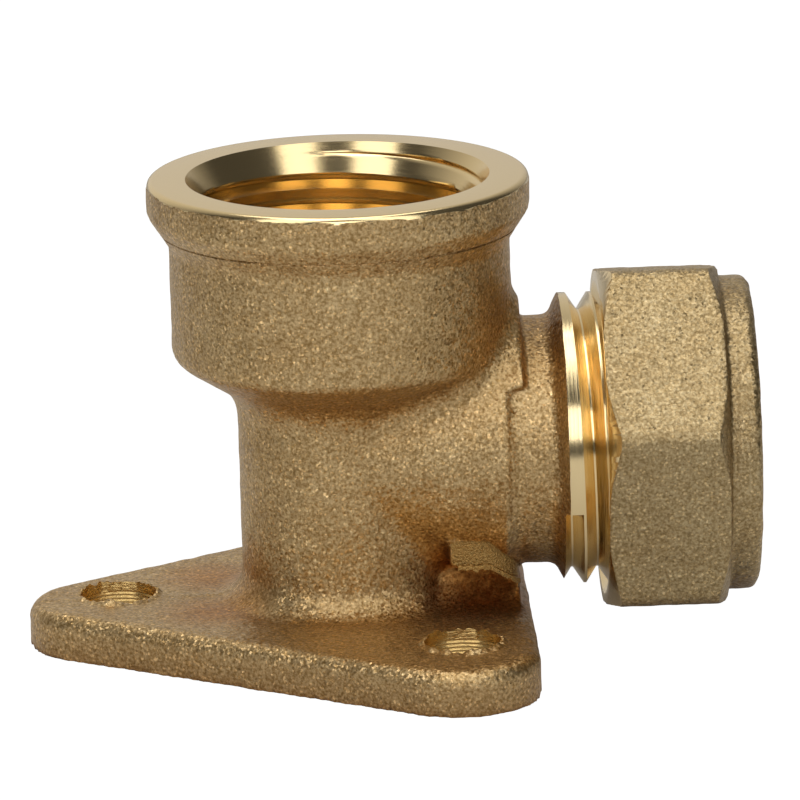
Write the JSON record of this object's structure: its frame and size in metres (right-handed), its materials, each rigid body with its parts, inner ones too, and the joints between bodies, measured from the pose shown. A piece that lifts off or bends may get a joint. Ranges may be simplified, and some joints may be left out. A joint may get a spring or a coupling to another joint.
{
  "type": "wall plate elbow",
  "caption": "Cast brass wall plate elbow with an upright threaded socket, a rounded triangular screw plate and a side outlet with a compression nut and ring.",
  "frame": {"origin": "on the wall plate's underside, below the centre of the socket", "axes": "+Z along the socket's axis away from the wall, +X along the compression outlet"},
  "size_m": [0.0523, 0.0448, 0.034],
  "materials": {
    "cast_brass": "blasted casting with machined rim and threads",
    "nut_brass": "blasted forging",
    "ring_brass": "bright turned"
  },
  "bodies": {
    "elbow": {"elbow_body": "cast_brass"},
    "ring": {"compression_ring": "ring_brass"},
    "nut": {"compression_nut": "nut_brass"}
  },
  "joints": [
    {"name": "ring_slide", "type": "slide", "parent": "elbow", "child": "ring", "axis": [1, 0, 0], "range_m": [0, 0.005]},
    {"name": "nut_turn", "type": "hinge", "parent": "ring", "child": "nut", "pos_m": [0.0238, 0, 0.01405], "axis": [1, 0, 0], "range_deg": [0, 990]}
  ],
  "couplings": [
    {"joint": "ring_slide", "follows": "nut_turn", "m_per_rad": 0.00028871}
  ]
}
